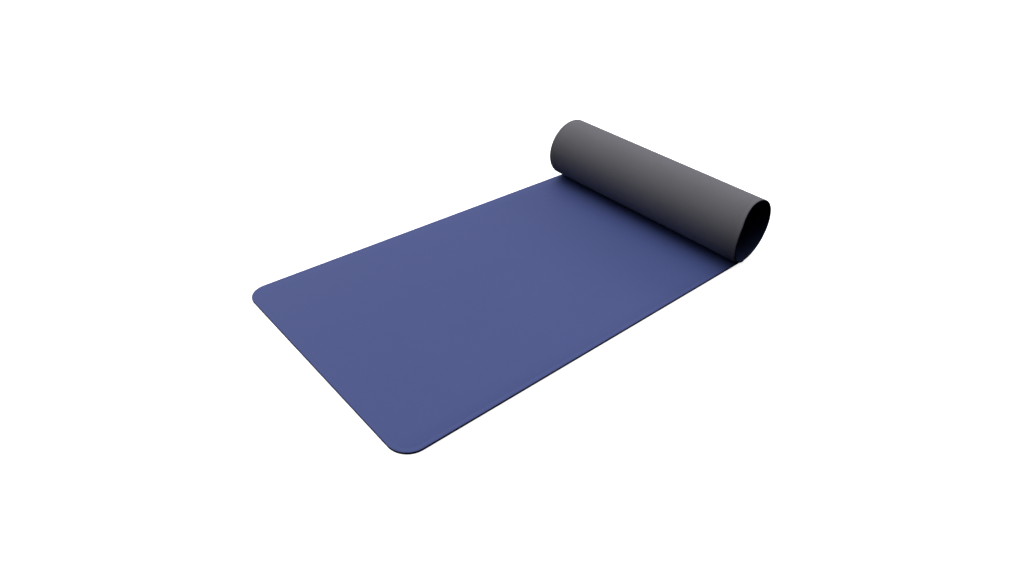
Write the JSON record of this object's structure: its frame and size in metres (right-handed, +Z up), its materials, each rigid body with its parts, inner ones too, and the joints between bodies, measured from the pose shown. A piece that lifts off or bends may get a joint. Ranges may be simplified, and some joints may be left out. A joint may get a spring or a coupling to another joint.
{
  "type": "infrared sauna blanket",
  "caption": "Thin flat infrared heating mat, blue above and dark grey below, lying open with rounded corners and its far end curled up into one open roll that unrolls flat.",
  "frame": {"origin": "middle of the mat's outline as it lies with its end rolled up, on the floor", "axes": "+X along the mat from its front edge to the roll, +Y across it, +Z up"},
  "size_m": [1.4216, 0.8, 0.2192],
  "materials": {
    "blue_cover": "matt coated fabric, fine grain, slate blue",
    "grey_back": "matt, finely textured, dark grey",
    "heater_core": "layers of felt, film, foil and foam",
    "felt": "needled felt",
    "carbon_film": "printed carbon film",
    "copper": "bare copper",
    "foil": "bright foil",
    "foam": "closed-cell foam",
    "sensor_case": "moulded",
    "cutout_case": "moulded",
    "inlet_housing": "spark-textured moulding",
    "gasket": "soft rubber",
    "socket_sleeve": "smooth moulding",
    "contact_metal": "plated",
    "screw_steel": "zinc plated"
  },
  "bodies": {
    "flat_panel": {"top_cover": "blue_cover", "felt_pad": "felt", "heating_film": "carbon_film", "bus_bars": "copper", "reflective_foil": "foil", "foam_pad": "foam", "back_cover": "grey_back", "temperature_sensor": "sensor_case", "thermal_cutout": "cutout_case"},
    "curl_01": {"top_cover_01": "blue_cover", "heater_core_01": "heater_core", "back_cover_01": "grey_back"},
    "curl_02": {"top_cover_02": "blue_cover", "heater_core_02": "heater_core", "back_cover_02": "grey_back"},
    "curl_03": {"top_cover_03": "blue_cover", "heater_core_03": "heater_core", "back_cover_03": "grey_back"},
    "curl_04": {"top_cover_04": "blue_cover", "heater_core_04": "heater_core", "back_cover_04": "grey_back"},
    "curl_05": {"top_cover_05": "blue_cover", "heater_core_05": "heater_core", "back_cover_05": "grey_back"},
    "curl_06": {"top_cover_06": "blue_cover", "heater_core_06": "heater_core", "back_cover_06": "grey_back"},
    "curl_07": {"top_cover_07": "blue_cover", "heater_core_07": "heater_core", "back_cover_07": "grey_back"},
    "curl_08": {"top_cover_08": "blue_cover", "heater_core_08": "heater_core", "back_cover_08": "grey_back"},
    "curl_09": {"top_cover_09": "blue_cover", "heater_core_09": "heater_core", "back_cover_09": "grey_back"},
    "curl_10": {"top_cover_10": "blue_cover", "heater_core_10": "heater_core", "back_cover_10": "grey_back"},
    "curl_11": {"top_cover_11": "blue_cover", "heater_core_11": "heater_core", "back_cover_11": "grey_back"},
    "curl_12": {"top_cover_12": "blue_cover", "heater_core_12": "heater_core", "back_cover_12": "grey_back", "inlet_housing_base": "inlet_housing", "inlet_housing_cap": "inlet_housing", "inlet_gasket": "gasket", "inlet_socket": "socket_sleeve", "inlet_contacts": "contact_metal", "housing_screws": "screw_steel", "inlet_leads": "copper"},
    "curl_13": {"top_cover_13": "blue_cover", "heater_core_13": "heater_core", "back_cover_13": "grey_back"},
    "curl_14": {"top_cover_14": "blue_cover", "heater_core_14": "heater_core", "back_cover_14": "grey_back"}
  },
  "joints": [
    {"name": "unroll_01", "type": "hinge", "parent": "flat_panel", "child": "curl_01", "pos_m": [0.62604, 0, 0.00285], "axis": [0, 1, 0], "range_deg": [0, 26.2]},
    {"name": "unroll_02", "type": "hinge", "parent": "curl_01", "child": "curl_02", "pos_m": [0.67062, 0, 0.02479], "axis": [0, 1, 0], "range_deg": [0, 26.2]},
    {"name": "unroll_03", "type": "hinge", "parent": "curl_02", "child": "curl_03", "pos_m": [0.70093, 0, 0.06415], "axis": [0, 1, 0], "range_deg": [0, 26.2]},
    {"name": "unroll_04", "type": "hinge", "parent": "curl_03", "child": "curl_04", "pos_m": [0.71075, 0, 0.11285], "axis": [0, 1, 0], "range_deg": [0, 26.2]},
    {"name": "unroll_05", "type": "hinge", "parent": "curl_04", "child": "curl_05", "pos_m": [0.69806, 0, 0.16089], "axis": [0, 1, 0], "range_deg": [0, 26.2]},
    {"name": "unroll_06", "type": "hinge", "parent": "curl_05", "child": "curl_06", "pos_m": [0.66547, 0, 0.19838], "axis": [0, 1, 0], "range_deg": [0, 26.2]},
    {"name": "unroll_07", "type": "hinge", "parent": "curl_06", "child": "curl_07", "pos_m": [0.61967, 0, 0.21763], "axis": [0, 1, 0], "range_deg": [0, 26.2]},
    {"name": "unroll_08", "type": "hinge", "parent": "curl_07", "child": "curl_08", "pos_m": [0.57007, 0, 0.21469], "axis": [0, 1, 0], "range_deg": [0, 26.2]},
    {"name": "unroll_09", "type": "hinge", "parent": "curl_08", "child": "curl_09", "pos_m": [0.52687, 0, 0.19015], "axis": [0, 1, 0], "range_deg": [0, 26.2]},
    {"name": "unroll_10", "type": "hinge", "parent": "curl_09", "child": "curl_10", "pos_m": [0.50015, 0, 0.15083], "axis": [0, 1, 0], "range_deg": [0, 26.2]},
    {"name": "unroll_11", "type": "hinge", "parent": "curl_10", "child": "curl_11", "pos_m": [0.49354, 0, 0.10375], "axis": [0, 1, 0], "range_deg": [0, 26.2]},
    {"name": "unroll_12", "type": "hinge", "parent": "curl_11", "child": "curl_12", "pos_m": [0.50838, 0, 0.05859], "axis": [0, 1, 0], "range_deg": [0, 26.2]},
    {"name": "unroll_13", "type": "hinge", "parent": "curl_12", "child": "curl_13", "pos_m": [0.54165, 0, 0.02462], "axis": [0, 1, 0], "range_deg": [0, 26.2]},
    {"name": "unroll_14", "type": "hinge", "parent": "curl_13", "child": "curl_14", "pos_m": [0.58649, 0, 0.00883], "axis": [0, 1, 0], "range_deg": [0, 26.2]}
  ],
  "couplings": [
    {"joint": "unroll_02", "follows": "unroll_01", "ratio": 1},
    {"joint": "unroll_03", "follows": "unroll_01", "ratio": 1},
    {"joint": "unroll_04", "follows": "unroll_01", "ratio": 1},
    {"joint": "unroll_05", "follows": "unroll_01", "ratio": 1},
    {"joint": "unroll_06", "follows": "unroll_01", "ratio": 1},
    {"joint": "unroll_07", "follows": "unroll_01", "ratio": 1},
    {"joint": "unroll_08", "follows": "unroll_01", "ratio": 1},
    {"joint": "unroll_09", "follows": "unroll_01", "ratio": 1},
    {"joint": "unroll_10", "follows": "unroll_01", "ratio": 1},
    {"joint": "unroll_11", "follows": "unroll_01", "ratio": 1},
    {"joint": "unroll_12", "follows": "unroll_01", "ratio": 1},
    {"joint": "unroll_13", "follows": "unroll_01", "ratio": 1},
    {"joint": "unroll_14", "follows": "unroll_01", "ratio": 1}
  ]
}
